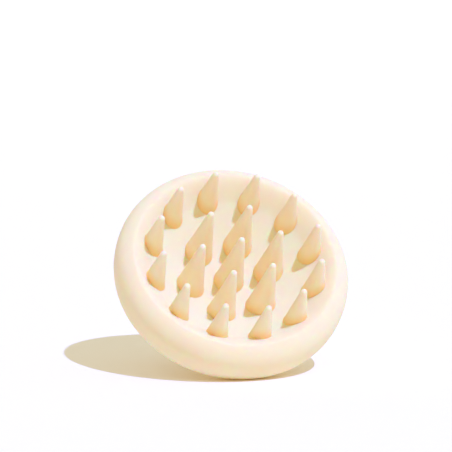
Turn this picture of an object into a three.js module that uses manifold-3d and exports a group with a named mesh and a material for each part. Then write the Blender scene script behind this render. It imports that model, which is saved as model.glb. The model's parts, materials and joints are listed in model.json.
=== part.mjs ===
// Scalp massager brush: a dished silicone head with nineteen cone bristles on a round hand knob.
// Millimetres, +Z up. The brush is drawn on its own axis, bristles towards +Z and the back of
// the head at height zero, and is then laid down as it lies on a table, on rim and knob.
import * as THREE from 'three';
import * as BufferGeometryUtils from 'three/addons/utils/BufferGeometryUtils.js';
import Module from 'manifold-3d';

const wasm = await Module();
wasm.setup();

// Fits
const seatGap = 0.3;
const overrun = 2;

// Silicone head: rim and dish
const headRadius = 40;
const rimHeight = 18.2;
const rimHalfWidth = 9.8;
const rimRoundness = 2.6;
const browInset = 5.1;
const shoulderInset = 12;
const shoulderHeight = 12.05;
const shoulderSlope = THREE.MathUtils.degToRad(44.5);
const floorRadius = 9.6;
const floorHeight = 3.8;
const skinThickness = 2.8;
const collarRadius = 24;
const floorEaseShare = 0.22;
const shoulderEaseShare = 0.12;
const browEaseShare = 0.2;

// Bristles
const innerRingRadius = 13.85;
const outerRingInset = 12.5;
const innerRingCount = 6;
const outerRingCount = 12;
const tipHeight = 28.1;
const tipRadius = 1.05;
const bristleTaper = THREE.MathUtils.degToRad(9.5);
const meetingHeight = 580;
const footReach = 0.3;
const footRise = 0.45;
const footEdge = 0.15;
const footSink = 0.6;
const patternTurn = THREE.MathUtils.degToRad(69.4);

// Core plate inside the head
const plateFlatRadius = 13.5;
const plateThickness = 2;
const plateInset = 11.2;
const plateBeadWidth = 2.3;
const plateBeadHeight = 2.4;
const plateRimHeight = 7.2;
const lipRadius = 19;

// Plate screws, and the bosses and pilot holes that they pass through
const screwCount = 3;
const screwCircleRadius = 5.4;
const screwBossRadius = 3.4;
const screwBossLength = 2.5;
const screwHeadRadius = 2.3;
const screwHeadHeight = 1.2;
const screwRecessDepth = 2.7;
const screwShankRadius = 1.1;
const screwLength = 9;
const screwDriveRadius = 1;
const screwDriveDepth = 0.7;
const threadGap = 0.15;

// Handle: flange, neck and knob
const flangeRadius = 22;
const flangeThickness = 2.4;
const flangeEdgeRadius = 1.2;
const neckRadius = 9.5;
const neckHeight = 11.5;
const knobRadius = 16;
const knobEdgeRadius = 5;
const knobReach = 25.4;
const flangePullShare = 0.55;
const neckPullShare = 0.5;
const waistPullShare = 0.42;
const knobPullShare = 0.55;
const handleHollowRadius = 8.2;
const handleHollowDepth = 10.6;

// Cap that closes the knob
const capRadius = 10.2;
const capThickness = 1.7;
const capSkirtWall = 1.5;
const capSkirtLength = 3;
const capEdgeRadius = 0.4;

// Steps of the round shapes
const headSides = 48;
const handleSides = 48;
const capSides = 36;
const screwSides = 16;
const bristleSides = 12;
const curveSteps = 7;
const rimSteps = 12;
const edgeSteps = 4;
const tipSteps = 2;
const footSteps = 2;
const solverSteps = 40;

const silicone = { color: 0xf5ecd9, roughness: 0.62, metalness: 0 };
const hardPlastic = { color: 0xf1e6d0, roughness: 0.5, metalness: 0 };
const corePlastic = { color: 0xd9d3c6, roughness: 0.6, metalness: 0 };
const screwSteel = { color: 0xb9bbbd, roughness: 0.35, metalness: 0.9 };

// Outlines are lists of radius and height from the top of a piece down to its bottom, turned
// about +Z. One flat facet of each turned shape is square to -Y, the side that meets the table.
function point(radius, height) {
  return new THREE.Vector2(radius, height);
}

function solidOf(geometry) {
  geometry.deleteAttribute('normal');
  geometry.deleteAttribute('uv');
  const merged = BufferGeometryUtils.mergeVertices(geometry);
  const vertProperties = new Float32Array(merged.attributes.position.array);
  const triVerts = new Uint32Array(merged.index.array);
  return new wasm.Manifold(new wasm.Mesh({ numProp: 3, vertProperties, triVerts }));
}

function turned(outline, sides) {
  const facet = 2 * Math.PI / sides;
  const upwards = [...outline].reverse();
  const geometry = new THREE.LatheGeometry(upwards, sides, facet / 2, 2 * Math.PI);
  return solidOf(geometry.rotateX(Math.PI / 2));
}

function peg(radius, top, bottom, place) {
  const outline = [point(0, top), point(radius, top), point(radius, bottom), point(0, bottom)];
  return turned(outline, screwSides).translate(place.x, place.y, 0);
}

function piece(name, solid, look) {
  const { vertProperties, triVerts } = solid.getMesh();
  const geometry = new THREE.BufferGeometry();
  geometry.setAttribute('position', new THREE.BufferAttribute(vertProperties, 3));
  geometry.setIndex(new THREE.BufferAttribute(triVerts, 1));
  geometry.computeVertexNormals();
  const mesh = new THREE.Mesh(geometry, new THREE.MeshStandardMaterial(look));
  mesh.name = name;
  return mesh;
}

function arc(centre, radius, from, to, steps) {
  const points = [];
  for (let step = 0; step <= steps; step += 1) {
    const angle = from + (to - from) * step / steps;
    points.push(point(centre.x + radius * Math.cos(angle), centre.y + radius * Math.sin(angle)));
  }
  return points;
}

function curve(start, startPull, endPull, end) {
  return new THREE.CubicBezierCurve(start, startPull, endPull, end).getPoints(curveSteps);
}

// The rim's section is a rounded box, a superellipse that the dish breaks into at the brow.
function rimPoint(angle) {
  const power = 2 / rimRoundness;
  const out = Math.pow(Math.cos(angle), power);
  const up = Math.sign(angle) * Math.pow(Math.abs(Math.sin(angle)), power);
  const centreRadius = headRadius - rimHalfWidth;
  return point(centreRadius + rimHalfWidth * out, rimHeight / 2 + rimHeight / 2 * up);
}

const browShare = (rimHalfWidth - browInset) / rimHalfWidth;
const browAngle = Math.acos(Math.pow(browShare, rimRoundness / 2));

function rimOutline() {
  const points = [];
  for (let step = 0; step < rimSteps; step += 1) {
    points.push(rimPoint(browAngle + (-Math.PI / 2 - browAngle) * step / rimSteps));
  }
  return [...points, point(headRadius - rimHalfWidth, 0)];
}

// The dish has a flat floor, sweeps up to a shoulder and rolls over onto the brow of the rim.
function dishOutline(brow, pastBrow) {
  const floorEnd = point(floorRadius, floorHeight);
  const shoulder = point(headRadius - shoulderInset, shoulderHeight);
  const wallSpan = shoulder.distanceTo(floorEnd);
  const browSpan = brow.distanceTo(shoulder);
  const rise = point(Math.cos(shoulderSlope), Math.sin(shoulderSlope));
  const fall = pastBrow.clone().sub(brow).normalize();
  const floorPull = point(floorRadius + floorEaseShare * wallSpan, floorHeight);
  const wallPull = shoulder.clone().addScaledVector(rise, -shoulderEaseShare * wallSpan);
  const rollPull = shoulder.clone().addScaledVector(rise, browEaseShare * browSpan);
  const browPull = brow.clone().addScaledVector(fall, -browEaseShare * browSpan);
  const wall = curve(floorEnd, floorPull, wallPull, shoulder);
  return [...wall, ...curve(shoulder, rollPull, browPull, brow).slice(1)];
}

const rim = rimOutline();
const dish = dishOutline(rim[0], rim[1]);

function dishHeightAt(radius) {
  const next = dish.findIndex((place) => place.x >= radius);
  if (next === 0) return floorHeight;
  if (next < 0) return rim[0].y;
  const low = dish[next - 1];
  const high = dish[next];
  return low.y + (high.y - low.y) * (radius - low.x) / (high.x - low.x);
}

// A bristle is a cone with a ball tip. The bristles lean in a little, as if all their axes met
// far out in front, so that the ring of feet is wider than the ring of tips.
function leanOutAt(height) {
  return (meetingHeight - height) / (meetingHeight - tipHeight);
}

// A foot follows the dish all round: on each side the flank is run down to where it meets the
// dish, and a small flare leads it out onto the skin.
function flankRadiusAt(height) {
  const ballEdge = tipHeight + tipRadius * Math.sin(bristleTaper);
  return tipRadius * Math.cos(bristleTaper) + (ballEdge - height) * Math.tan(bristleTaper);
}

function bristlePlace(centre, angle, radius, height) {
  const share = leanOutAt(height);
  const x = centre.x * share + radius * Math.cos(angle);
  const y = centre.y * share + radius * Math.sin(angle);
  return new THREE.Vector3(x, y, height);
}

function bristleColumn(centre, angle) {
  const groundAt = (radius, height) => {
    const place = bristlePlace(centre, angle, radius, height);
    return dishHeightAt(Math.hypot(place.x, place.y));
  };
  const column = [];
  for (let step = 1; step <= tipSteps; step += 1) {
    const polar = (Math.PI / 2 - bristleTaper) * step / tipSteps;
    column.push(point(tipRadius * Math.sin(polar), tipHeight + tipRadius * Math.cos(polar)));
  }
  let footHeight = floorHeight;
  for (let step = 0; step < solverSteps; step += 1) {
    footHeight = (footHeight + groundAt(flankRadiusAt(footHeight), footHeight)) / 2;
  }
  const stemRadius = flankRadiusAt(footHeight + footRise);
  for (let step = 0; step <= footSteps; step += 1) {
    const turn = Math.PI / 2 * step / footSteps;
    const radius = stemRadius + footReach * (1 - Math.cos(turn));
    const rise = footEdge + (footRise - footEdge) * (1 - Math.sin(turn));
    column.push(point(radius, groundAt(radius, footHeight) + rise));
  }
  const buried = stemRadius + footReach + footEdge;
  return [...column, point(buried, groundAt(buried, footHeight) - footSink)];
}

function bristle(centre) {
  const positions = [centre.x, centre.y, tipHeight + tipRadius];
  const faces = [];
  let rows = 0;
  for (let side = 0; side < bristleSides; side += 1) {
    const angle = 2 * Math.PI * side / bristleSides;
    const column = bristleColumn(centre, angle);
    rows = column.length;
    for (const { x: radius, y: height } of column) {
      positions.push(...bristlePlace(centre, angle, radius, height));
    }
  }
  const bottom = positions.length / 3;
  positions.push(...bristlePlace(centre, 0, 0, dishHeightAt(centre.length()) - footSink));
  for (let side = 0; side < bristleSides; side += 1) {
    const here = 1 + side * rows;
    const beside = 1 + (side + 1) % bristleSides * rows;
    faces.push(0, here, beside);
    for (let row = 1; row < rows; row += 1) {
      faces.push(here + row - 1, here + row, beside + row);
      faces.push(here + row - 1, beside + row, beside + row - 1);
    }
    faces.push(bottom, beside + rows - 1, here + rows - 1);
  }
  const geometry = new THREE.BufferGeometry();
  geometry.setAttribute('position', new THREE.Float32BufferAttribute(positions, 3));
  geometry.setIndex(faces);
  return solidOf(geometry);
}

function bristleCentres() {
  const centres = [point(0, 0)];
  const outerRingRadius = headRadius - outerRingInset;
  const rings = [[innerRingRadius, innerRingCount], [outerRingRadius, outerRingCount]];
  for (const [radius, count] of rings) {
    for (let index = 0; index < count; index += 1) {
      const angle = patternTurn + 2 * Math.PI * index / count;
      centres.push(point(radius * Math.cos(angle), radius * Math.sin(angle)));
    }
  }
  return centres;
}

// The core plate is a stiff dished disc with a beaded edge and a boss round each screw. The
// head's pocket is the same outline grown by the seat gap, so that its lip grips the bead.
const plateRadius = headRadius - plateInset;
const plateFace = floorHeight - skinThickness - seatGap;
const plateBack = plateFace - plateThickness;

function plateOutline(grow) {
  const beadInner = plateRadius - plateBeadWidth;
  const beadBack = plateRimHeight - plateBeadHeight;
  return [
    point(0, plateFace + grow),
    point(plateFlatRadius, plateFace + grow),
    point(beadInner, plateRimHeight + grow),
    point(plateRadius + grow, plateRimHeight + grow),
    point(plateRadius + grow, beadBack - grow),
    point(beadInner, beadBack - grow),
    point(plateFlatRadius + plateThickness / 2 + grow, plateBack - grow),
    point(0, plateBack - grow)
  ];
}

// A collar on the head's back stands level with the plate's back, and the flange seats on it.
function bristleHead() {
  const collar = [point(collarRadius, 0), point(collarRadius + plateBack, plateBack), point(0, plateBack)];
  const outside = [point(0, floorHeight), ...dish, ...rim, ...collar];
  let head = turned(outside, headSides);
  for (const centre of bristleCentres()) {
    head = head.add(bristle(centre));
  }
  const mouth = [
    point(0, plateFace),
    point(lipRadius, plateFace),
    point(lipRadius, -overrun),
    point(0, -overrun)
  ];
  head = head.subtract(turned(plateOutline(seatGap), headSides)).subtract(turned(mouth, headSides));
  return piece('bristle_head', head, silicone);
}

function screwPlaces() {
  const places = [];
  for (let index = 0; index < screwCount; index += 1) {
    const angle = Math.PI / 2 + 2 * Math.PI * index / screwCount;
    places.push(point(screwCircleRadius * Math.cos(angle), screwCircleRadius * Math.sin(angle)));
  }
  return places;
}

const bossEnd = plateBack - screwBossLength;
const screwSeat = plateFace - screwRecessDepth;

function corePlate() {
  let plate = turned(plateOutline(0), headSides);
  for (const place of screwPlaces()) {
    plate = plate.add(peg(screwBossRadius, plateFace, bossEnd, place));
  }
  for (const place of screwPlaces()) {
    const recess = peg(screwHeadRadius + seatGap, plateFace + overrun, screwSeat, place);
    const hole = peg(screwShankRadius + seatGap, plateFace, bossEnd - overrun, place);
    plate = plate.subtract(recess).subtract(hole);
  }
  return piece('core_plate', plate, corePlastic);
}

function plateScrew(name, place) {
  const under = screwSeat + seatGap;
  const top = under + screwHeadHeight;
  const outline = [
    point(0, top - screwDriveDepth),
    point(screwDriveRadius, top),
    point(screwHeadRadius - screwHeadHeight / 2, top),
    point(screwHeadRadius, under + screwHeadHeight / 2),
    point(screwHeadRadius, under),
    point(screwShankRadius, under),
    point(screwShankRadius, under - screwLength + screwShankRadius),
    point(0, under - screwLength)
  ];
  const screw = piece(name, turned(outline, screwSides), screwSteel);
  screw.position.set(place.x, place.y, 0);
  return screw;
}

// The handle is one hard moulding: a flange that pinches the head's lip against the core plate,
// a waisted neck for the fingers and a round knob, hollow from its open end.
const flangeFace = plateBack - seatGap;

function gripOutline() {
  const flangeBack = flangeFace - flangeThickness;
  const edgeCentre = point(flangeRadius - flangeEdgeRadius, flangeBack + flangeEdgeRadius);
  const neck = point(neckRadius, -neckHeight);
  const knobCentre = point(knobRadius - knobEdgeRadius, knobEdgeRadius - knobReach);
  const knobSide = point(knobRadius, knobCentre.y);
  const flangeEnd = point(edgeCentre.x, flangeBack);
  const flangePull = point(flangeEnd.x - flangePullShare * (flangeEnd.x - neck.x), flangeBack);
  const neckPull = point(neck.x, neck.y + neckPullShare * (flangeBack - neck.y));
  const waistPull = point(neck.x, neck.y - waistPullShare * (neck.y - knobSide.y));
  const knobPull = point(knobSide.x, knobSide.y + knobPullShare * (neck.y - knobSide.y));
  return [
    point(0, flangeFace),
    point(flangeRadius, flangeFace),
    ...arc(edgeCentre, flangeEdgeRadius, 0, -Math.PI / 2, edgeSteps),
    ...curve(flangeEnd, flangePull, neckPull, neck).slice(1),
    ...curve(neck, waistPull, knobPull, knobSide).slice(1, -1),
    ...arc(knobCentre, knobEdgeRadius, 0, -Math.PI / 2, edgeSteps * 2)
  ];
}

function handleBody() {
  const seatRadius = capRadius + seatGap;
  const seatHeight = capThickness + seatGap - knobReach;
  const hollowTop = handleHollowDepth - knobReach;
  const hollow = [
    point(seatRadius, -knobReach),
    point(seatRadius, seatHeight),
    point(handleHollowRadius, seatHeight),
    point(handleHollowRadius, hollowTop),
    point(0, hollowTop)
  ];
  let body = turned([...gripOutline(), ...hollow], handleSides);
  for (const place of screwPlaces()) {
    const socket = peg(screwBossRadius + seatGap, flangeFace + overrun, bossEnd - seatGap, place);
    const pilotEnd = screwSeat - screwLength - seatGap;
    const pilot = peg(screwShankRadius + threadGap, flangeFace, pilotEnd, place);
    body = body.subtract(socket).subtract(pilot);
  }
  return piece('handle_body', body, hardPlastic);
}

function knobCap() {
  const inside = capThickness - knobReach;
  const skirtRadius = handleHollowRadius - seatGap;
  const edgeCentre = point(capRadius - capEdgeRadius, capEdgeRadius - knobReach);
  const outline = [
    point(0, inside),
    point(skirtRadius - capSkirtWall, inside),
    point(skirtRadius - capSkirtWall, inside + capSkirtLength),
    point(skirtRadius, inside + capSkirtLength),
    point(skirtRadius, inside),
    point(capRadius, inside),
    ...arc(edgeCentre, capEdgeRadius, 0, -Math.PI / 2, edgeSteps / 2),
    point(0, -knobReach)
  ];
  return piece('knob_cap', turned(outline, capSides), hardPlastic);
}

// The brush lies on two facets, one of the rim and one of the knob: its lean is the one at
// which both reach down equally far.
function reachDown(outline, sides, lean) {
  const flat = Math.cos(Math.PI / sides);
  const reaches = outline.map((place) => {
    return place.x * flat * Math.sin(lean) - place.y * Math.cos(lean);
  });
  return Math.max(...reaches);
}

function leanOnTable() {
  const grip = gripOutline();
  let low = 0;
  let high = Math.PI / 2;
  for (let step = 0; step < solverSteps; step += 1) {
    const lean = (low + high) / 2;
    const rimIsLower = reachDown(rim, headSides, lean) > reachDown(grip, handleSides, lean);
    if (rimIsLower) high = lean;
    else low = lean;
  }
  return (low + high) / 2;
}

const brush = new THREE.Group();
brush.add(bristleHead(), corePlate(), handleBody(), knobCap());
screwPlaces().forEach((place, index) => {
  brush.add(plateScrew(`plate_screw_${index + 1}`, place));
});
brush.rotation.x = leanOnTable();

const group = new THREE.Group();
group.add(brush);
group.updateMatrixWorld(true);
const extent = new THREE.Box3().setFromObject(group, true);
const middle = extent.getCenter(new THREE.Vector3());
brush.position.set(-middle.x, -middle.y, -extent.min.z);

export default group;
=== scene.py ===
# %% [markdown]
# # A scalp massager brush
#
# This lesson dresses a small bathroom object: a round silicone head full of cone bristles, and
# behind it a hard knob that is held between the fingers. The sizes, the place of every piece and
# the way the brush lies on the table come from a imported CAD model, called the frame. Blender
# adds what the CAD leaves plain: round surfaces, soft edges, finishes, light and a camera.

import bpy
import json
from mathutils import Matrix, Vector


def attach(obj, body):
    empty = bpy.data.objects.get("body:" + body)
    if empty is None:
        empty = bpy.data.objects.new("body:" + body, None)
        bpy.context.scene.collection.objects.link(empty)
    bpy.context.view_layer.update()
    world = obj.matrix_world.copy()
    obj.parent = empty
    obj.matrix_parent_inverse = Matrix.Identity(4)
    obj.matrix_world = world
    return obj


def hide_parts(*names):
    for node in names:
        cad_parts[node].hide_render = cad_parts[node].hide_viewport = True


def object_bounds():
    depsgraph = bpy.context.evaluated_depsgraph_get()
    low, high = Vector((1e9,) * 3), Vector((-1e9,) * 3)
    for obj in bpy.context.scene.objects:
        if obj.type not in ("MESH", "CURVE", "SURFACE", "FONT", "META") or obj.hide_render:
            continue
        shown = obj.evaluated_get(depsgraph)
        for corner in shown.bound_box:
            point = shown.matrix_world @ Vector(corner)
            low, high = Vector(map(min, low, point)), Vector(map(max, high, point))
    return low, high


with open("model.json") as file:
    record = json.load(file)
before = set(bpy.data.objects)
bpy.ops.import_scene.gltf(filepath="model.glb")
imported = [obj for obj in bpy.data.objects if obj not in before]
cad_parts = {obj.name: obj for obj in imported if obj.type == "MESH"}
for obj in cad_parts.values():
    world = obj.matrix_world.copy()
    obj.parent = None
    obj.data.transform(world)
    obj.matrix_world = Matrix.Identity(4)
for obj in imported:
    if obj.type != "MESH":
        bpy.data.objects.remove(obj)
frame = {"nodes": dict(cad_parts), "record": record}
cad_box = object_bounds()
print(len(frame["nodes"]), "solids stand in the frame")

# %% Tools of the lesson
import json
import math

import bmesh
import bpy
import numpy as np
from mathutils import Matrix, Vector
from mathutils.geometry import delaunay_2d_cdt

MM = 0.001
QUARTER_TURN = math.pi / 2


def in_mm(lengths):
    """Lengths in metres as rounded millimetres, to be printed."""
    return [round(float(length) / MM, 1) for length in lengths]


print("Blender", bpy.app.version_string)
print("CAD box in mm", [in_mm(corner) for corner in cad_box])

# %% [markdown]
# ## The brush's own axis
#
# The head and the handle are round about one axis, so they are easiest to draw upright, with
# the bristles towards +Z and the back of the head at height zero. The real brush lies on its rim
# and its knob and leans back. The CAD's one mount is the flat end of the knob, and it gives both
# the direction of the axis and a point on it. That is enough to lay every drawn piece down. The
# CAD's circles have straight sides, which lie a hair inside the true circle, so everything round
# is drawn slimmer by that share and touches the table where the CAD does.

# %% Lay the drawing axis where the CAD has it
KNOB_REACH = 25.4 * MM
HEAD_RADIUS = 40 * MM

knob_end = frame["record"]["mounts"][0]
knob_end_place = Vector(knob_end["pos_m"])
brush_axis = -Vector(knob_end["axis"])
lean = math.atan2(-brush_axis.y, brush_axis.z)
slimmer = cad_box[1][0] / HEAD_RADIUS
head_back = Matrix.Translation(knob_end_place + brush_axis * KNOB_REACH)
slimming = Matrix.Diagonal((slimmer, slimmer, 1, 1))
laid_down = head_back @ Matrix.Rotation(lean, 4, "X") @ slimming
print("the brush leans back", round(math.degrees(lean), 2), "degrees")
print("its circles are drawn at", round(slimmer, 5), "of their radius")

# %% [markdown]
# ## Outlines
#
# A turned piece is an outline of radius and height, spun about the axis. The outlines here are
# short lists of curves: arcs, Bezier curves and one superellipse, each sampled finely enough
# that its steps never show.

# %% Curves that outlines are made of


def bezier(start, start_pull, end_pull, end, steps):
    """Points of a cubic Bezier curve, both ends included."""
    t = np.linspace(0, 1, steps + 1)[:, None]
    places = [np.array(p, float) for p in (start, start_pull, end_pull, end)]
    weights = [(1 - t) ** 3, 3 * t * (1 - t) ** 2, 3 * t ** 2 * (1 - t), t ** 3]
    return sum(weight * place for weight, place in zip(weights, places))


def arc(centre, radius, start, end, steps):
    """Points of an arc of a circle, both ends included."""
    angles = np.linspace(start, end, steps + 1)
    x = centre[0] + radius * np.cos(angles)
    y = centre[1] + radius * np.sin(angles)
    return np.column_stack([x, y])


print("a quarter circle in eight steps has", len(arc((0, 0), 1, 0, QUARTER_TURN, 8)), "points")

# %% [markdown]
# ## The silicone head: rim and dish
#
# The head is one soft moulding. Its rim is fat, with a broad, gently domed front and soft
# corners, and a superellipse draws that section with a single number for its roundness. Inside
# the rim the face is dished: flat in the middle, rising ever more steeply, then rolling over
# onto the rim at the brow.

# %% Draw the rim's section
RIM_HEIGHT = 18.2 * MM
RIM_HALF_WIDTH = 9.8 * MM
RIM_ROUNDNESS = 2.6
RIM_POINTS = 57
BROW_INSET = 5.1 * MM


def rim_point(angle):
    """A point of the section: its top is at a quarter turn, its outermost side at zero."""
    power = 2 / RIM_ROUNDNESS
    out = math.cos(angle) ** power if math.cos(angle) > 0 else 0.0
    up = math.copysign(abs(math.sin(angle)) ** power, math.sin(angle))
    centre = HEAD_RADIUS - RIM_HALF_WIDTH
    return (centre + RIM_HALF_WIDTH * out, RIM_HEIGHT / 2 * (1 + up))


brow_share = (RIM_HALF_WIDTH - BROW_INSET) / RIM_HALF_WIDTH
brow_angle = math.acos(brow_share ** (RIM_ROUNDNESS / 2))
rim_curve = np.array([rim_point(a) for a in np.linspace(brow_angle, -QUARTER_TURN, RIM_POINTS)])
print("the rim's section starts at the brow,", in_mm(rim_curve[0]), "mm out and up")

# %% Draw the dish
FLOOR_RADIUS = 9.6 * MM
FLOOR_HEIGHT = 3.8 * MM
FLOOR_EASE_SHARE = 0.22
SHOULDER_INSET = 12 * MM
SHOULDER_HEIGHT = 12.05 * MM
SHOULDER_SLOPE = math.radians(44.5)
SHOULDER_EASE_SHARE = 0.12
BROW_EASE_SHARE = 0.2
WALL_STEPS = 40
ROLL_STEPS = 24


def dish_curve():
    """The dish from the middle of its floor to the brow."""
    floor_end = np.array([FLOOR_RADIUS, FLOOR_HEIGHT])
    shoulder = np.array([HEAD_RADIUS - SHOULDER_INSET, SHOULDER_HEIGHT])
    brow = rim_curve[0]
    wall_span = np.linalg.norm(shoulder - floor_end)
    brow_span = np.linalg.norm(brow - shoulder)
    rise = np.array([math.cos(SHOULDER_SLOPE), math.sin(SHOULDER_SLOPE)])
    fall = (rim_curve[1] - brow) / np.linalg.norm(rim_curve[1] - brow)
    floor_pull = floor_end + np.array([FLOOR_EASE_SHARE * wall_span, 0])
    wall_pull = shoulder - rise * SHOULDER_EASE_SHARE * wall_span
    roll_pull = shoulder + rise * BROW_EASE_SHARE * brow_span
    brow_pull = brow - fall * BROW_EASE_SHARE * brow_span
    wall = bezier(floor_end, floor_pull, wall_pull, shoulder, WALL_STEPS)
    roll = bezier(shoulder, roll_pull, brow_pull, brow, ROLL_STEPS)
    return np.vstack([[0, FLOOR_HEIGHT], wall, roll[1:]])


dish = dish_curve()


def dish_height(radius):
    """Height of the dish's skin at a radius, or at many radii at once."""
    return np.interp(radius, dish[:, 0], dish[:, 1])


print("the dish is", *in_mm([rim_curve[:, 1].max() - FLOOR_HEIGHT]), "mm deep")

# %% [markdown]
# ## Bristles
#
# Each bristle is a cone with a ball tip. One stands in the middle, six round it and twelve in
# the outer ring, in line with the inner ones. Those near the rim are shorter, because the dish
# climbs up their flanks. All of them lean in a little, as if their axes met far out in front, so
# the ring of feet is wider than the ring of tips.

# %% Places of the bristles
INNER_RING_RADIUS = 13.85 * MM
INNER_RING_COUNT = 6
OUTER_RING_INSET = 12.5 * MM
OUTER_RING_COUNT = 12
PATTERN_TURN = math.radians(69.4)

rings = (
    (INNER_RING_RADIUS, INNER_RING_COUNT),
    (HEAD_RADIUS - OUTER_RING_INSET, OUTER_RING_COUNT),
)
bristle_centres = [(0.0, 0.0)]
for ring_radius, ring_count in rings:
    for index in range(ring_count):
        angle = PATTERN_TURN + math.tau * index / ring_count
        bristle_centres.append((ring_radius * math.cos(angle), ring_radius * math.sin(angle)))
print(len(bristle_centres), "bristles stand in the dish")

# %% Taper and lean of a bristle
TIP_HEIGHT = 28.1 * MM
TIP_RADIUS = 1.05 * MM
BRISTLE_TAPER = math.radians(9.5)
MEETING_HEIGHT = 580 * MM


def flank_radius(height):
    """Radius of the cone at a height."""
    ball_edge = TIP_HEIGHT + TIP_RADIUS * math.sin(BRISTLE_TAPER)
    return TIP_RADIUS * math.cos(BRISTLE_TAPER) + (ball_edge - height) * math.tan(BRISTLE_TAPER)


def lean_share(height):
    """How far out an axis stands at a height, as a share of how far out its tip stands."""
    return (MEETING_HEIGHT - height) / (MEETING_HEIGHT - TIP_HEIGHT)


def bristle_place(centre, angle, distance, height):
    """The point at a distance from a bristle's leaning axis, on one of its sides."""
    share = lean_share(height)
    x = centre[0] * share + distance * math.cos(angle)
    y = centre[1] * share + distance * math.sin(angle)
    return (x, y, height)


print("at the floor a bristle is", *in_mm([2 * flank_radius(FLOOR_HEIGHT)]), "mm thick")

# %% [markdown]
# A bristle's foot follows the dish all round, so it is worked out side by side: on each side the
# flank is run down until it meets the skin, and a small Bezier fillet leads from the one to the
# other. The meeting height and the place on the dish depend on each other, so they are found in
# rounds, each closer than the last. What comes back is a ring of columns from the tip to the
# skin, all of the same length, which is easy to join with faces.

# %% Shape one bristle
FOOT_REACH = 0.3 * MM
FOOT_RISE = 0.45 * MM
FOOT_MARGIN = 0.35 * MM
BRISTLE_SIDES = 40
TIP_STEPS = 5
FLANK_STEPS = 12
FILLET_STEPS = 6
LEAN_ROUNDS = 4
FOOT_ROUNDS = 40


def skin_height(centre, angle, distance, height):
    """Height of the dish under a side, in rounds, because the lean moves its place with height."""
    for _ in range(LEAN_ROUNDS):
        x, y, _ = bristle_place(centre, angle, distance, height)
        height = float(dish_height(math.hypot(x, y)))
    return height


def foot_height(centre, angle):
    """Height at which the flank meets the dish on one side, closed in on by halves."""
    height = FLOOR_HEIGHT
    for _ in range(FOOT_ROUNDS):
        height = (height + skin_height(centre, angle, flank_radius(height), height)) / 2
    return height


def bristle_column(centre, angle):
    """Distance from the bristle's own axis and height, from just below the tip to the skin."""
    foot = foot_height(centre, angle)
    corner = flank_radius(foot)
    polar = np.linspace(0, QUARTER_TURN - BRISTLE_TAPER, TIP_STEPS + 1)[1:]
    tip = np.column_stack([TIP_RADIUS * np.sin(polar), TIP_HEIGHT + TIP_RADIUS * np.cos(polar)])
    flank_heights = np.linspace(tip[-1, 1], foot + FOOT_RISE, FLANK_STEPS + 1)[1:]
    flank = np.column_stack([flank_radius(flank_heights), flank_heights])
    outer = corner + FOOT_REACH
    foot_end = np.array([outer, skin_height(centre, angle, outer, foot)])
    t = np.linspace(0, 1, FILLET_STEPS + 1)[1:, None]
    pulled = 2 * t * (1 - t) * np.array([corner, foot])
    fillet = (1 - t) ** 2 * flank[-1] + pulled + t ** 2 * foot_end
    margin = outer + FOOT_MARGIN
    return np.vstack([tip, flank, fillet, [margin, skin_height(centre, angle, margin, foot)]])


bristle_angles = np.arange(BRISTLE_SIDES) * math.tau / BRISTLE_SIDES
bristle_columns = [
    [bristle_column(centre, angle) for angle in bristle_angles] for centre in bristle_centres
]
column_length = len(bristle_columns[0][0])
print("each bristle is", BRISTLE_SIDES, "columns of", column_length, "points")

# %% [markdown]
# ## One skin
#
# The photograph shows no joint between bristles and dish, because there is none, so the mesh is
# one skin too. A cone pushed through a disc would leave a hard crease and hidden walls. Here the
# dish is a flat pattern of points with a round hole for each bristle. The points stand on rings,
# each turned against the last so that no rows line up. Delaunay triangulation joins them evenly,
# and each point is then lifted to the dish's height.

# %% Cut holes for the feet in the floor plan


def ring_places(radius, count, turn=0.0):
    """Points spread evenly round a circle."""
    angles = turn + np.arange(count) * math.tau / count
    return np.column_stack([radius * np.cos(angles), radius * np.sin(angles)])


def inside_loop(place, loop):
    """True in a closed loop, where a line outwards crosses it an odd number of times."""
    after = np.roll(loop, -1, axis=0)
    spans = (loop[:, 1] > place[1]) != (after[:, 1] > place[1])
    run, climb = (after - loop)[spans].T
    crossings = loop[spans, 0] + (place[1] - loop[spans, 1]) * run / climb
    return np.count_nonzero(crossings > place[0]) % 2 == 1


def foot_plan(centre, columns):
    """The outline of a bristle's foot on the dish's floor plan."""
    places = [bristle_place(centre, a, *column[-1]) for a, column in zip(bristle_angles, columns)]
    return np.array(places)[:, :2]


feet = [foot_plan(centre, columns) for centre, columns in zip(bristle_centres, bristle_columns)]
print(len(feet), "holes of", len(feet[0]), "sides are left for the feet")

# %% Fill the dish between the feet
HEAD_SIDES = 192
DISH_EDGE_RADIUS = 33.4 * MM
DISH_GRAIN = 0.95 * MM
CLEAR_OF_FEET = DISH_GRAIN * 0.6
RING_TURN = 2.4
SAME_PLACE = 1e-7


def fill_places():
    """Rings of points, each turned against the last, that keep clear of the feet."""
    places = []
    ring_count = round(DISH_EDGE_RADIUS / DISH_GRAIN)
    for ring in range(1, ring_count):
        radius = DISH_EDGE_RADIUS * ring / ring_count
        count = round(math.tau * radius / DISH_GRAIN)
        for place in ring_places(radius, count, ring * RING_TURN):
            nearest = min(np.linalg.norm(foot - place, axis=1).min() for foot in feet)
            if nearest >= CLEAR_OF_FEET and not any(inside_loop(place, foot) for foot in feet):
                places.append(place)
    return np.array(places)


def loop_edges(loops):
    """The edges of closed loops whose points follow one another in one list."""
    edges = []
    start = 0
    for loop in loops:
        count = len(loop)
        edges += [(start + i, start + (i + 1) % count) for i in range(count)]
        start += count
    return edges


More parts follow.
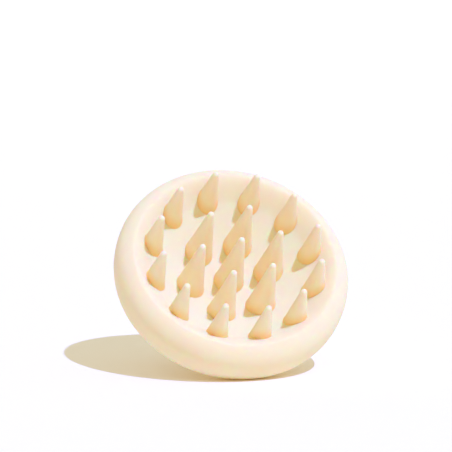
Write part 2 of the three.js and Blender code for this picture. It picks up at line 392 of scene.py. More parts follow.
def dish_pattern():
    """The dish's floor plan, with the holes left open, as points and triangles."""
    loops = [ring_places(DISH_EDGE_RADIUS, HEAD_SIDES)] + feet
    points = [Vector(place) for place in np.vstack(loops + [fill_places()])]
    done = delaunay_2d_cdt(points, loop_edges(loops), [], 0, SAME_PLACE)
    places = np.array([tuple(v) for v in done[0]])
    triangles = []
    for face in done[2]:
        middle = places[list(face)].mean(axis=0)
        if not any(inside_loop(middle, foot) for foot in feet):
            triangles.append(tuple(face))
    return places, triangles


dish_places, dish_triangles = dish_pattern()
print("the dish is", len(dish_triangles), "triangles round", len(feet), "feet")

# %% [markdown]
# The back of the head doesn't show in the photograph, but a hard core plate has to sit in it. A
# collar runs down to the handle's flange, and a lip inside it snaps over the bead round the edge
# of the plate. The pocket follows the plate at a small distance, so the two never touch in a
# render. It is one more outline, carried on from the back of the rim to the axis.

# %% Outline the pocket for the core plate
SKIN_THICKNESS = 2.8 * MM
COLLAR_RADIUS = 24 * MM
LIP_RADIUS = 19 * MM
PLATE_FLAT_RADIUS = 13.5 * MM
PLATE_THICKNESS = 2 * MM
PLATE_INSET = 11.2 * MM
PLATE_BEAD_WIDTH = 2.3 * MM
PLATE_BEAD_HEIGHT = 2.4 * MM
PLATE_RIM_HEIGHT = 7.2 * MM
SEAT_GAP = 0.3 * MM

plate_radius = HEAD_RADIUS - PLATE_INSET
plate_face = FLOOR_HEIGHT - SKIN_THICKNESS - SEAT_GAP
plate_back = plate_face - PLATE_THICKNESS


def lip_top():
    """Height at which the lip's wall meets the back of the pocket."""
    inner = (PLATE_FLAT_RADIUS + PLATE_THICKNESS / 2, plate_back - SEAT_GAP)
    outer = (plate_radius - PLATE_BEAD_WIDTH, PLATE_RIM_HEIGHT - PLATE_BEAD_HEIGHT - SEAT_GAP)
    share = (LIP_RADIUS - inner[0]) / (outer[0] - inner[0])
    return inner[1] + share * (outer[1] - inner[1])


def pocket_outline():
    """The head's collar, lip and pocket for the core plate, from the rim's back to the axis."""
    bead_inner = plate_radius - PLATE_BEAD_WIDTH
    bead_back = PLATE_RIM_HEIGHT - PLATE_BEAD_HEIGHT
    return [
        (COLLAR_RADIUS, 0),
        # plate_back is below zero, so the collar slopes inwards by as much as it reaches down
        (COLLAR_RADIUS + plate_back, plate_back),
        (LIP_RADIUS, plate_back),
        (LIP_RADIUS, lip_top()),
        (bead_inner, bead_back - SEAT_GAP),
        (plate_radius + SEAT_GAP, bead_back - SEAT_GAP),
        (plate_radius + SEAT_GAP, PLATE_RIM_HEIGHT + SEAT_GAP),
        (bead_inner, PLATE_RIM_HEIGHT + SEAT_GAP),
        (PLATE_FLAT_RADIUS, plate_face + SEAT_GAP),
    ]


skin_left = FLOOR_HEIGHT - plate_face - SEAT_GAP
print("the pocket leaves", *in_mm([skin_left]), "mm of skin under the dish")

# %% [markdown]
# Every round piece here starts as an outline that is spun about the axis, and all pieces end the
# same way. Points and faces become a mesh, which is laid down with the brush. Points that lie on
# each other are welded and the faces are turned to look outwards. Counting the edges that don't
# have a face on both sides shows at once whether a hole was left.

# %% Spin an outline


def turned(outline, sides):
    """Points and faces of an outline spun about the axis; an end on the axis becomes a point."""
    spin = ring_places(1, sides)
    verts = []
    rows = []
    for radius, height in outline:
        first = len(verts)
        if radius == 0:
            verts.append((0, 0, height))
            rows.append([first] * sides)
        else:
            verts += [(radius * c, radius * s, height) for c, s in spin]
            rows.append(list(range(first, len(verts))))
    faces = []
    for here, below in zip(rows, rows[1:]):
        for side in range(sides):
            beside = (side + 1) % sides
            corners = (here[side], here[beside], below[beside], below[side])
            faces.append(tuple(dict.fromkeys(corners)))
    return verts, faces


print("a cone of six sides has", len(turned([(0, 1), (1, 0), (0, 0)], 6)[1]), "faces")

# %% Turn points and faces into a piece
WELD = 0.01 * MM
CM3 = 1e-6


def new_piece(name, verts, faces, place=laid_down):
    """A mesh object from points and faces, laid down with the brush and smooth all over."""
    mesh = bpy.data.meshes.new(name)
    mesh.from_pydata([tuple(v) for v in verts], [], faces)
    mesh.transform(place)
    mesh.shade_smooth()
    mesh.update()
    piece = bpy.data.objects.new(name, mesh)
    bpy.context.collection.objects.link(piece)
    return piece


def close_and_face_out(piece, weld=WELD):
    """Welds points that lie together, turns every face outwards and reports on the mesh."""
    work = bmesh.new()
    work.from_mesh(piece.data)
    bmesh.ops.remove_doubles(work, verts=work.verts, dist=weld)
    bmesh.ops.recalc_face_normals(work, faces=work.faces)
    if work.calc_volume(signed=True) < 0:
        bmesh.ops.reverse_faces(work, faces=work.faces)
    open_edges = sum(1 for edge in work.edges if not edge.is_manifold)
    volume = round(work.calc_volume() / CM3, 1)
    work.to_mesh(piece.data)
    work.free()
    print(piece.name, len(piece.data.polygons), "faces,", open_edges, "open edges,", volume, "cm3")


print("pieces are laid down at", in_mm(laid_down.translation), "mm")

# %% [markdown]
# Now the head's parts are put together in one list of points: first the dish with its holes,
# then each bristle's columns, then the outline from the edge of the dish over the rim and the
# back to the middle of the pocket. Neighbouring parts share their border points exactly, and
# the weld joins them.

# %% Build the head
CLEAR_OF_EDGE = DISH_GRAIN / 3
HEAD_WELD = 0.02 * MM


def add_bristle(verts, faces, centre, columns):
    """Adds one bristle: its tip point, its columns, and the faces between neighbouring columns."""
    first = len(verts)
    verts.append(bristle_place(centre, 0, 0, TIP_HEIGHT + TIP_RADIUS))
    for angle, column in zip(bristle_angles, columns):
        verts += [bristle_place(centre, angle, distance, height) for distance, height in column]
    for here in range(BRISTLE_SIDES):
        beside = (here + 1) % BRISTLE_SIDES
        a = first + 1 + here * column_length
        b = first + 1 + beside * column_length
        faces.append((first, a, b))
        for row in range(column_length - 1):
            faces.append((a + row, a + row + 1, b + row + 1, b + row))


def add_rings(verts, faces, outline):
    """Adds an outline spun about the axis, and one flat face across its last ring."""
    first = len(verts)
    ring_verts, ring_faces = turned(outline, HEAD_SIDES)
    verts += ring_verts
    faces += [tuple(first + corner for corner in face) for face in ring_faces]
    faces.append(tuple(range(len(verts) - HEAD_SIDES, len(verts))))


def head_mesh():
    """The head as one skin: dish, bristles, rim, back, lip and pocket."""
    heights = dish_height(np.linalg.norm(dish_places, axis=1))
    verts = [(x, y, height) for (x, y), height in zip(dish_places, heights)]
    faces = list(dish_triangles)
    for centre, columns in zip(bristle_centres, bristle_columns):
        add_bristle(verts, faces, centre, columns)
    dish_edge = (DISH_EDGE_RADIUS, float(dish_height(DISH_EDGE_RADIUS)))
    brow_part = dish[dish[:, 0] > DISH_EDGE_RADIUS + CLEAR_OF_EDGE]
    add_rings(verts, faces, [dish_edge, *brow_part, *rim_curve[1:], *pocket_outline()])
    return verts, faces


head = new_piece("silicone_head", *head_mesh())
close_and_face_out(head, HEAD_WELD)
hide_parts("bristle_head")
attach(head, "root")

# %% [markdown]
# ## The handle
#
# The handle never shows in the photograph, but the brush could not lean as it does without it:
# the rim and a knob carry the weight. It is a hard moulding with a flange behind the head, a
# neck waisted for two fingers and a round knob. The CAD solid has flat facets, so a finer one
# is turned here from the same sizes, and it stands for the CAD's.

# %% Sizes of the handle
FLANGE_RADIUS = 22 * MM
FLANGE_THICKNESS = 2.4 * MM
FLANGE_EDGE_RADIUS = 1.2 * MM
NECK_RADIUS = 9.5 * MM
NECK_HEIGHT = 11.5 * MM
KNOB_RADIUS = 16 * MM
KNOB_EDGE_RADIUS = 5 * MM
FLANGE_PULL_SHARE = 0.55
NECK_PULL_SHARE = 0.5
WAIST_PULL_SHARE = 0.42
KNOB_PULL_SHARE = 0.55
HOLLOW_RADIUS = 8.2 * MM
HOLLOW_DEPTH = 10.6 * MM
CAP_RADIUS = 10.2 * MM
CAP_THICKNESS = 1.7 * MM
MOUTH_EDGE_RADIUS = 0.25 * MM

flange_face = plate_back - SEAT_GAP
print("the handle stands", *in_mm([KNOB_REACH + flange_face]), "mm high behind the head")

# %% Turn the handle
HANDLE_SIDES = 160
FLANGE_EDGE_STEPS = 8
NECK_STEPS = 28
KNOB_EDGE_STEPS = 20
MOUTH_STEPS = 4


def handle_outline():
    """The handle from the middle of its flange round the outside and into the hollow knob."""
    flange_back = flange_face - FLANGE_THICKNESS
    edge_centre = (FLANGE_RADIUS - FLANGE_EDGE_RADIUS, flange_back + FLANGE_EDGE_RADIUS)
    knob_centre = (KNOB_RADIUS - KNOB_EDGE_RADIUS, KNOB_EDGE_RADIUS - KNOB_REACH)
    flange_end = (edge_centre[0], flange_back)
    neck = (NECK_RADIUS, -NECK_HEIGHT)
    knob_side = (KNOB_RADIUS, knob_centre[1])
    flange_pull = (flange_end[0] - FLANGE_PULL_SHARE * (flange_end[0] - neck[0]), flange_back)
    neck_pull = (neck[0], neck[1] + NECK_PULL_SHARE * (flange_back - neck[1]))
    waist_pull = (neck[0], neck[1] - WAIST_PULL_SHARE * (neck[1] - knob_side[1]))
    knob_pull = (knob_side[0], knob_side[1] + KNOB_PULL_SHARE * (neck[1] - knob_side[1]))
    mouth_radius = CAP_RADIUS + SEAT_GAP
    mouth_centre = (mouth_radius + MOUTH_EDGE_RADIUS, MOUTH_EDGE_RADIUS - KNOB_REACH)
    seat_height = CAP_THICKNESS + SEAT_GAP - KNOB_REACH
    return np.vstack([
        [0, flange_face],
        [FLANGE_RADIUS, flange_face],
        arc(edge_centre, FLANGE_EDGE_RADIUS, 0, -QUARTER_TURN, FLANGE_EDGE_STEPS),
        bezier(flange_end, flange_pull, neck_pull, neck, NECK_STEPS)[1:],
        bezier(neck, waist_pull, knob_pull, knob_side, NECK_STEPS)[1:-1],
        arc(knob_centre, KNOB_EDGE_RADIUS, 0, -QUARTER_TURN, KNOB_EDGE_STEPS),
        arc(mouth_centre, MOUTH_EDGE_RADIUS, -QUARTER_TURN, -math.pi, MOUTH_STEPS),
        [mouth_radius, seat_height],
        [HOLLOW_RADIUS, seat_height],
        [HOLLOW_RADIUS, HOLLOW_DEPTH - KNOB_REACH],
        [0, HOLLOW_DEPTH - KNOB_REACH],
    ])


handle = new_piece("grip_handle", *turned(handle_outline(), HANDLE_SIDES))
close_and_face_out(handle)

# %% [markdown]
# The core plate's three bosses sit in sockets in the flange, and its screws run on into pilot
# holes. They are hidden once the brush is together, but a handle without them would not fit its
# neighbours, so they are cut with a Boolean modifier, which is applied straight away.

# %% Cut the sockets and pilot holes
SCREW_COUNT = 3
SCREW_CIRCLE_RADIUS = 5.4 * MM
SCREW_BOSS_RADIUS = 3.4 * MM
SCREW_BOSS_LENGTH = 2.5 * MM
SCREW_RECESS_DEPTH = 2.7 * MM
SCREW_SHANK_RADIUS = 1.1 * MM
SCREW_LENGTH = 9 * MM
THREAD_GAP = 0.15 * MM
OVERRUN = 2 * MM
PEG_SIDES = 32
CUT_WELD = 0.001 * MM
SHARP_FROM = math.radians(40)


def cut_away(piece, cutter):
    """Subtracts the cutter from a piece for good, and removes the cutter."""
    modifier = piece.modifiers.new("cut", "BOOLEAN")
    modifier.operation = "DIFFERENCE"
    modifier.solver = "EXACT"
    modifier.object = cutter
    depsgraph = bpy.context.evaluated_depsgraph_get()
    cut = bpy.data.meshes.new_from_object(piece.evaluated_get(depsgraph))
    piece.modifiers.clear()
    piece.data = cut
    bpy.data.objects.remove(cutter)


def crisp(piece):
    """Keeps the shading sharp where faces meet at more than a small angle."""
    piece.data.set_sharp_from_angle(angle=SHARP_FROM)


boss_end = plate_back - SCREW_BOSS_LENGTH
pilot_end = plate_face - SCREW_RECESS_DEPTH - SCREW_LENGTH - SEAT_GAP
socket_radius = SCREW_BOSS_RADIUS + SEAT_GAP
pilot_radius = SCREW_SHANK_RADIUS + THREAD_GAP
socket_outline = [
    (0, flange_face + OVERRUN),
    (socket_radius, flange_face + OVERRUN),
    (socket_radius, boss_end - SEAT_GAP),
    (pilot_radius, boss_end - SEAT_GAP),
    (pilot_radius, pilot_end),
    (0, pilot_end),
]
for index in range(SCREW_COUNT):
    angle = QUARTER_TURN + math.tau * index / SCREW_COUNT
    x = SCREW_CIRCLE_RADIUS * math.cos(angle)
    y = SCREW_CIRCLE_RADIUS * math.sin(angle)
    place = laid_down @ Matrix.Translation((x, y, 0))
    cutter = new_piece("socket_cutter", *turned(socket_outline, PEG_SIDES), place)
    close_and_face_out(cutter)
    cut_away(handle, cutter)
close_and_face_out(handle, CUT_WELD)
crisp(handle)
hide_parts("handle_body")
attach(handle, "root")

# %% [markdown]
# ## The cap in the knob
#
# The knob is cored out so that its walls mould evenly, and a flat cap closes it. A skirt on the
# cap's back centres it in the hollow. Its edge is barely rounded and stands in line with the end
# of the knob, so a fine ring of shadow is all that shows of the joint.

# %% Turn the cap
CAP_SKIRT_WALL = 1.5 * MM
CAP_SKIRT_LENGTH = 3 * MM
CAP_EDGE_RADIUS = 0.4 * MM
CAP_EDGE_STEPS = 5


def cap_outline():
    """The cap from its inside face round the skirt and the edge to its outer face."""
    inside = CAP_THICKNESS - KNOB_REACH
    skirt_radius = HOLLOW_RADIUS - SEAT_GAP
    edge_centre = (CAP_RADIUS - CAP_EDGE_RADIUS, CAP_EDGE_RADIUS - KNOB_REACH)
    return np.vstack([
        [0, inside],
        [skirt_radius - CAP_SKIRT_WALL, inside],
        [skirt_radius - CAP_SKIRT_WALL, inside + CAP_SKIRT_LENGTH],
        [skirt_radius, inside + CAP_SKIRT_LENGTH],
        [skirt_radius, inside],
        [CAP_RADIUS, inside],
        arc(edge_centre, CAP_EDGE_RADIUS, 0, -QUARTER_TURN, CAP_EDGE_STEPS),
        [0, -KNOB_REACH],
    ])


cap = new_piece("end_cap", *turned(cap_outline(), HANDLE_SIDES))
close_and_face_out(cap)
crisp(cap)
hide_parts("knob_cap")
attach(cap, "root")

# %% [markdown]
# ## Finishes
#
# Cream silicone is matte, but it is not chalk: light goes in, wanders through the warm pigment
# and comes out again nearby. Subsurface scattering does that, and it makes the shaded flanks glow
# orange instead of going grey; round the bristles' feet painted warm shade adds to the glow. A
# very fine grain keeps the highlights broad.
#
# Colours and roughness drift a little, as they do on every moulded piece. Noise textures drive
# both. A noise seldom leaves the middle of its range, so that middle is stretched to the whole
# range that is wanted.

# %% Start a material


def finish(name):
    """A new material, its node tree and its Principled shader."""
    material = bpy.data.materials.new(name)
    material.use_nodes = True
    return material, material.node_tree, material.node_tree.nodes["Principled BSDF"]


def linear(red, green, blue):
    """A colour as it looks on screen, from 0 to 255, in the linear values a shader wants."""
    shares = [channel / 255 for channel in (red, green, blue)]
    return tuple(s / 12.92 if s <= 0.04045 else ((s + 0.055) / 1.055) ** 2.4 for s in shares)


def wear(piece, material):
    """Gives a drawn piece its material and reports it."""
    piece.data.materials.append(material)
    print(piece.name, "wears", material.name, "with", len(material.node_tree.nodes), "nodes")


print("mid grey on screen is", round(linear(128, 128, 128)[0], 3), "to a shader")

# %% Textures that vary a finish
NOISE_LOW = 0.3
NOISE_HIGH = 0.7
SOFT_NOISE = 1
SHARP_NOISE = 2


def noise(tree, size, detail=SHARP_NOISE):
    """A noise texture with features of about the given size in metres."""
    coordinates = tree.nodes.new("ShaderNodeTexCoord")
    texture = tree.nodes.new("ShaderNodeTexNoise")
    texture.inputs["Scale"].default_value = 1 / size
    texture.inputs["Detail"].default_value = detail
    tree.links.new(coordinates.outputs["Object"], texture.inputs["Vector"])
    return texture.outputs["Fac"]


def spread(tree, value, low, high):
    """Stretches the middle of a noise over a range of values."""
    node = tree.nodes.new("ShaderNodeMapRange")
    node.inputs["From Min"].default_value = NOISE_LOW
    node.inputs["From Max"].default_value = NOISE_HIGH
    node.inputs["To Min"].default_value = low
    node.inputs["To Max"].default_value = high
    tree.links.new(value, node.inputs["Value"])
    return node.outputs["Result"]


def blend_colours(tree, share, first, second):
    """Mixes two colours by a share; each is a plain colour or another node's output."""
    node = tree.nodes.new("ShaderNodeMix")
    node.data_type = "RGBA"
    for socket, colour in ((node.inputs["A"], first), (node.inputs["B"], second)):
        if isinstance(colour, tuple):
            socket.default_value = (*colour, 1)
        else:
            tree.links.new(colour, socket)
    tree.links.new(share, node.inputs["Factor"])
    return node.outputs["Result"]


def clouds(tree, size, first, second):
    """A colour that drifts between two others in clouds of about the given size."""
    return blend_colours(tree, spread(tree, noise(tree, size), 0, 1), first, second)


def roughen(tree, shader, size, low, high):
    """Lets the shader's roughness drift between two values in patches of the given size."""
    tree.links.new(spread(tree, noise(tree, size), low, high), shader.inputs["Roughness"])


def grain(tree, shader, size, depth, detail=SHARP_NOISE):
    """Feeds fine bumps, of a size and depth in metres, to the shader's normal."""
    node = tree.nodes.new("ShaderNodeBump")
    node.inputs["Strength"].default_value = 1
    node.inputs["Distance"].default_value = depth
    tree.links.new(noise(tree, size, detail), node.inputs["Height"])
    tree.links.new(node.outputs["Normal"], shader.inputs["Normal"])


def scatter(shader, weight, distances, scale):
    """Lets light wander under the surface, for its own distance in red, green and blue."""
    shader.inputs["Subsurface Weight"].default_value = weight
    shader.inputs["Subsurface Radius"].default_value = distances
    shader.inputs["Subsurface Scale"].default_value = scale


print("a noise is stretched from", NOISE_LOW, "and", NOISE_HIGH, "to its ends")

# %% [markdown]
# How much of the pigment's warmth shows depends on how thick the silicone is. Light leaves a
# thin tip before it is tinted, and it is trapped longest in the corner round a bristle's foot.
# Scattering alone gives a part of that. The rest is painted into the colour: two shares are kept
# for each point of the mesh, and the material reads them to paint paler light on the tips and
# warm shade round the feet.

# %% Mark where painted light and shade go: the tips and feet of the head
# painted light: the heights between which the colour pales towards the tips
TIP_PAINTED_LIGHT_FADE = (17 * MM, 27.5 * MM)
# painted shade: how far up the flank and out over the dish the warm shade round a foot reaches
FOOT_PAINTED_SHADE_FADE_UP = 6 * MM
FOOT_PAINTED_SHADE_FADE_OUT = 0.2 * MM


def eased(share):
    """A share held between 0 and 1, with a soft start and end."""
    held = np.clip(share, 0, 1)
    return held * held * (3 - 2 * held)


def mark_points(piece, name, shares):
    """Stores one number for each point of a mesh under a name that a material can read."""
    piece.data.attributes.new(name, "FLOAT", "POINT").data.foreach_set("value", shares)


upright = laid_down.inverted()
points = np.array([tuple(upright @ vertex.co) for vertex in head.data.vertices])
leaning = lean_share(points[:, 2])
to_bristles = points[:, None, :2] - leaning[:, None, None] * np.array(bristle_centres)
from_flank = np.linalg.norm(to_bristles, axis=2).min(axis=1) - flank_radius(points[:, 2])
above_skin = points[:, 2] - dish_height(np.linalg.norm(points[:, :2], axis=1))
# Painted shade: the colour warms round each bristle's foot, most in the corner at the dish
foot_painted_shades = eased(1 - above_skin / FOOT_PAINTED_SHADE_FADE_UP) * eased(1 - from_flank / FOOT_PAINTED_SHADE_FADE_OUT)
foot_painted_shades[above_skin < -FOOT_RISE] = 0  # the head's back lies below the dish
# Painted light: the colour pales up towards each tip, where thin silicone looks lighter
tip_painted_lights = eased((points[:, 2] - TIP_PAINTED_LIGHT_FADE[0]) / (TIP_PAINTED_LIGHT_FADE[1] - TIP_PAINTED_LIGHT_FADE[0]))
mark_points(head, "foot_painted_shade", foot_painted_shades)
mark_points(head, "tip_painted_light", tip_painted_lights)
print(np.count_nonzero(foot_painted_shades), "points lie near a foot,", end=" ")
print(np.count_nonzero(tip_painted_lights), "near a tip")

# %% [markdown]
# The head's finish puts these together: cream with a faint cloudiness, painted warm shade round
# the feet and painted paler light on the tips. Red light travels farthest under the surface and
# blue the least, so the three scattering distances differ. The gloss is kept low, because the
# photograph shows no glint anywhere.

# %% Cream silicone
SILICONE = linear(246, 236, 204)
SILICONE_WARMER = linear(245, 235, 201)
# painted shade: a warmer colour for the corner round each bristle's foot
SILICONE_PAINTED_SHADE_AT_FEET = linear(250, 214, 147)
# painted light: a paler colour for the thin tips
SILICONE_PAINTED_LIGHT_AT_TIPS = linear(242, 236, 213)
SILICONE_CLOUD_SIZE = 14 * MM
SILICONE_ROUGHNESS = (0.62, 0.72)
SILICONE_PATCH_SIZE = 3 * MM
SILICONE_SCATTER = (1.0, 0.28, 0.12)
SILICONE_SCATTER_SCALE = 3.4 * MM
SILICONE_GLOSS = 0.1
SILICONE_GRAIN_SIZE = 0.25 * MM
SILICONE_GRAIN_DEPTH = 0.008 * MM


def marked(tree, name):
    """The shares that were stored on the mesh under a name."""
    node = tree.nodes.new("ShaderNodeAttribute")
    node.attribute_name = name
    return node.outputs["Fac"]


silicone, tree, shader = finish("cream_silicone")
body_colour = clouds(tree, SILICONE_CLOUD_SIZE, SILICONE, SILICONE_WARMER)
# painted shade: the foot shares warm the colour round the feet
with_painted_foot_shade = blend_colours(tree, marked(tree, "foot_painted_shade"), body_colour, SILICONE_PAINTED_SHADE_AT_FEET)
# painted light: the tip shares pale the colour towards the tips
with_painted_tip_light = blend_colours(tree, marked(tree, "tip_painted_light"), with_painted_foot_shade, SILICONE_PAINTED_LIGHT_AT_TIPS)
tree.links.new(with_painted_tip_light, shader.inputs["Base Color"])
roughen(tree, shader, SILICONE_PATCH_SIZE, *SILICONE_ROUGHNESS)
scatter(shader, 1, SILICONE_SCATTER, SILICONE_SCATTER_SCALE)
shader.inputs["Specular IOR Level"].default_value = SILICONE_GLOSS
grain(tree, shader, SILICONE_GRAIN_SIZE, SILICONE_GRAIN_DEPTH, SOFT_NOISE)
wear(head, silicone)

# %% [markdown]
# Handle and cap are moulded in a hard plastic of the same cream. The photograph doesn't show
# them, so their finish is a guess: satin, a little smoother than silicone, and denser, so that
# light goes in less far.

# %% Hard plastic of the handle and cap
PLASTIC = linear(244, 235, 204)
PLASTIC_WARMER = linear(242, 232, 200)
PLASTIC_CLOUD_SIZE = 20 * MM
PLASTIC_ROUGHNESS = (0.4, 0.5)
PLASTIC_PATCH_SIZE = 2 * MM
PLASTIC_SCATTER_WEIGHT = 0.35
PLASTIC_SCATTER = (1.0, 0.5, 0.2)
PLASTIC_SCATTER_SCALE = 1.5 * MM
PLASTIC_GRAIN_SIZE = 0.4 * MM
PLASTIC_GRAIN_DEPTH = 0.01 * MM

plastic, tree, shader = finish("satin_cream_plastic")
plastic_colour = clouds(tree, PLASTIC_CLOUD_SIZE, PLASTIC, PLASTIC_WARMER)
tree.links.new(plastic_colour, shader.inputs["Base Color"])
roughen(tree, shader, PLASTIC_PATCH_SIZE, *PLASTIC_ROUGHNESS)
scatter(shader, PLASTIC_SCATTER_WEIGHT, PLASTIC_SCATTER, PLASTIC_SCATTER_SCALE)
grain(tree, shader, PLASTIC_GRAIN_SIZE, PLASTIC_GRAIN_DEPTH)
wear(handle, plastic)
wear(cap, plastic)

# %% [markdown]
# The core plate and its three screws are hidden once the brush is together. Their CAD solids are
# fine as they are, so they keep them and only get a finish: a plain undyed plastic, and steel
# with a thin bright plating.

# %% Hidden pieces: core plate
CORE = linear(219, 213, 200)
CORE_DULLER = linear(210, 203, 188)
CORE_CLOUD_SIZE = 6 * MM
CORE_ROUGHNESS = (0.5, 0.62)
CORE_PATCH_SIZE = 1 * MM
CORE_GRAIN_SIZE = 0.6 * MM
CORE_GRAIN_DEPTH = 0.02 * MM


def dress_node(name, material):
    """Puts a better material on a CAD node that keeps its own mesh."""
    node = frame["nodes"][name]
    if not node.material_slots:
        node.data.materials.append(material)
    for socket in node.material_slots:
        socket.material = material
    print(name, "wears", material.name)


core, tree, shader = finish("moulded_core_plastic")
tree.links.new(clouds(tree, CORE_CLOUD_SIZE, CORE, CORE_DULLER), shader.inputs["Base Color"])
roughen(tree, shader, CORE_PATCH_SIZE, *CORE_ROUGHNESS)
grain(tree, shader, CORE_GRAIN_SIZE, CORE_GRAIN_DEPTH)
dress_node("core_plate", core)

# %% Hidden pieces: screws
ZINC = linear(205, 206, 208)
ZINC_DULLER = linear(186, 188, 192)
ZINC_CLOUD_SIZE = 1.2 * MM
ZINC_ROUGHNESS = (0.25, 0.4)
ZINC_PATCH_SIZE = 0.5 * MM
ZINC_GRAIN_SIZE = 0.15 * MM
ZINC_GRAIN_DEPTH = 0.004 * MM

steel, tree, shader = finish("zinc_plated_steel")
tree.links.new(clouds(tree, ZINC_CLOUD_SIZE, ZINC, ZINC_DULLER), shader.inputs["Base Color"])
roughen(tree, shader, ZINC_PATCH_SIZE, *ZINC_ROUGHNESS)
shader.inputs["Metallic"].default_value = 1
grain(tree, shader, ZINC_GRAIN_SIZE, ZINC_GRAIN_DEPTH, SOFT_NOISE)
for index in range(SCREW_COUNT):
    dress_node(f"plate_screw_{index + 1}", steel)

# %% [markdown]
# ## Table and backdrop
#
# The photograph's ground is pure white and melts into the background, with only the shadow on
# it. A sheet of paper swept up behind the brush does the same. Blender can tell what kind of ray
# meets a surface: the paper is white to rays from the camera, to mirrored ones and to those that
# pass through glass. To the light that it throws back it is a little darker and warmer, so that
# it doesn't flood the brush from below.

# %% Sweep the paper
PAPER_HALF_WIDTH = 3.0
PAPER_FRONT = -2.0
PAPER_BACK = 4.0
PAPER_BEND = 1.0
PAPER_TOP = 4.0
PAPER_BEND_STEPS = 24
PAPER_TO_THE_BRUSH = (0.96, 0.9, 0.75)
WHITE = (1.0, 1.0, 1.0)


def seen_directly(tree):
    """1 for rays from the camera, mirrored or through glass; 0 for light thrown at the brush."""
    light_path = tree.nodes.new("ShaderNodeLightPath")
    share = light_path.outputs["Is Camera Ray"]
    for kind in ("Is Glossy Ray", "Is Transmission Ray"):
        either = tree.nodes.new("ShaderNodeMath")
        either.operation = "MAXIMUM"
        tree.links.new(share, either.inputs[0])
        tree.links.new(light_path.outputs[kind], either.inputs[1])
        share = either.outputs["Value"]
    return share


def paper_mesh():
    """A floor that bends up into a wall, as strips from front to top."""
    bend_centre = (PAPER_BACK - PAPER_BEND, PAPER_BEND)
    bend = arc(bend_centre, PAPER_BEND, -QUARTER_TURN, 0, PAPER_BEND_STEPS)
    side = np.vstack([[PAPER_FRONT, 0], bend, [PAPER_BACK, PAPER_TOP]])
    verts = []
    for y, z in side:
        verts += [(-PAPER_HALF_WIDTH, y, z), (PAPER_HALF_WIDTH, y, z)]
    faces = [(2 * i, 2 * i + 1, 2 * i + 3, 2 * i + 2) for i in range(len(side) - 1)]
    return verts, faces


paper = new_piece("paper_sweep", *paper_mesh(), Matrix.Identity(4))
paper_look, tree, shader = finish("white_paper")
paper_colour = blend_colours(tree, seen_directly(tree), PAPER_TO_THE_BRUSH, WHITE)
tree.links.new(paper_colour, shader.inputs["Base Color"])
shader.inputs["Roughness"].default_value = 1
shader.inputs["Specular IOR Level"].default_value = 0
wear(paper, paper_look)

# %% [markdown]
# ## Camera
#
# The camera stands where the photograph's stood. Its place was solved from the nineteen bristle
# tips: they are known points on a known pattern, so their places in the picture fix the lens,
# the height and the side that the brush is seen from.

# %% Place the camera
PHOTO_WIDTH_PX = 452
SENSOR_WIDTH = 36
SEES_AS_FAR_AS = 50
FOCAL_LENGTH_PX = 2170
CAMERA_AZIMUTH = math.radians(-13.87)
CAMERA_ELEVATION = math.radians(6.74)
TIPS_TO_THE_RIGHT = 5.24 * MM
TIPS_BELOW = 4.73 * MM
TIPS_AWAY = 716.9 * MM


def towards(azimuth, elevation):
    """The direction of something that stands round to one side of the front, and above."""
    return Vector((
        math.sin(azimuth) * math.cos(elevation),
        -math.cos(azimuth) * math.cos(elevation),
        math.sin(elevation),
    ))


right = Vector((math.cos(CAMERA_AZIMUTH), math.sin(CAMERA_AZIMUTH), 0))
back = towards(CAMERA_AZIMUTH, CAMERA_ELEVATION)
up = back.cross(right)
tips = laid_down @ Vector((0, 0, TIP_HEIGHT))
camera = bpy.data.objects.new("camera", bpy.data.cameras.new("camera"))
camera.data.sensor_width = SENSOR_WIDTH
camera.data.lens = SENSOR_WIDTH * FOCAL_LENGTH_PX / PHOTO_WIDTH_PX
camera.data.clip_end = SEES_AS_FAR_AS
turn = Matrix((right, up, back)).transposed().to_4x4()
camera_place = tips - right * TIPS_TO_THE_RIGHT + up * TIPS_BELOW + back * TIPS_AWAY
camera.matrix_world = Matrix.Translation(camera_place) @ turn
bpy.context.collection.objects.link(camera)
bpy.context.scene.camera = camera
print("lens", round(camera.data.lens, 1), "mm, camera at", [round(v, 3) for v in camera_place])

# %% [markdown]
# ## Light
#
# The shadow falls to the left and behind with a clear edge, so one small bright source stands to
# the right of the camera and above it. A sun lamp gives the same light everywhere on the brush.
# It is bluish and the room is warm: together they bring white paper to just white, and where the
# sun doesn't reach, the room's warmth is left.

# %% Hang the sun
SUN_FROM_CAMERA = math.radians(34.9)
SUN_ELEVATION = math.radians(50.75)
SUN_STRENGTH = 3.15
SUN_COLOUR = (0.368, 0.457, 0.947)
SUN_WIDTH = math.radians(1)

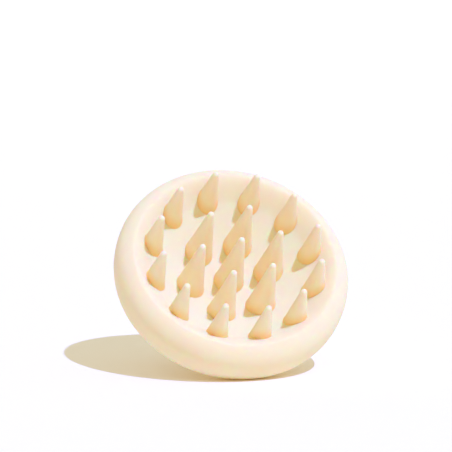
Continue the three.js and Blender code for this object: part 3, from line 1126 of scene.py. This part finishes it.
to_sun = towards(CAMERA_AZIMUTH + SUN_FROM_CAMERA, SUN_ELEVATION)
sun = bpy.data.objects.new("sun", bpy.data.lights.new("sun", "SUN"))
sun.data.energy = SUN_STRENGTH
sun.data.color = SUN_COLOUR
sun.data.angle = SUN_WIDTH
sun.rotation_euler = to_sun.to_track_quat("Z", "Y").to_euler()
bpy.context.collection.objects.link(sun)
print("the sun stands towards", [round(v, 2) for v in to_sun])

# %% [markdown]
# The room is the world's background: paler overhead and to the right, where the window would
# be, darker and warmer low down. The dot product of a direction with the direction of the
# window says how far the two agree, from -1 to 1, and one colour fades into the other by it.
#
# Light that bounces on between paper, dish and bristles takes on more of the cream each time.
# Blender drops a ray after four matte bounces unless it is told otherwise, and that leaves the
# hollows and the shadow under the rim grey. Here a ray may go on for much longer.

# %% Fill the room with light
ROOM_AT_WINDOW = (0.724, 0.68, 0.49)
ROOM_OPPOSITE = (0.558, 0.39, 0.252)
TO_WINDOW = Vector((0.38, 0.25, 0.89)).normalized()
LIGHT_PATH_LENGTH = 20

room = bpy.data.worlds.new("room")
bpy.context.scene.world = room
room.use_nodes = True
tree = room.node_tree
background = tree.nodes["Background"]

direction = tree.nodes.new("ShaderNodeTexCoord")
agreement = tree.nodes.new("ShaderNodeVectorMath")
agreement.operation = "DOT_PRODUCT"
agreement.inputs[1].default_value = TO_WINDOW
tree.links.new(direction.outputs["Generated"], agreement.inputs[0])
fade = tree.nodes.new("ShaderNodeMapRange")
fade.inputs["From Min"].default_value = -1
fade.inputs["From Max"].default_value = 1
tree.links.new(agreement.outputs["Value"], fade.inputs["Value"])
room_colour = blend_colours(tree, fade.outputs["Result"], ROOM_OPPOSITE, ROOM_AT_WINDOW)
seen_colour = blend_colours(tree, seen_directly(tree), room_colour, WHITE)
tree.links.new(seen_colour, background.inputs["Color"])

bpy.context.scene.cycles.max_bounces = LIGHT_PATH_LENGTH
bpy.context.scene.cycles.diffuse_bounces = LIGHT_PATH_LENGTH
bpy.context.scene.view_settings.view_transform = "Standard"
print("room light with", len(tree.nodes), "nodes; rays bounce up to", LIGHT_PATH_LENGTH, "times")
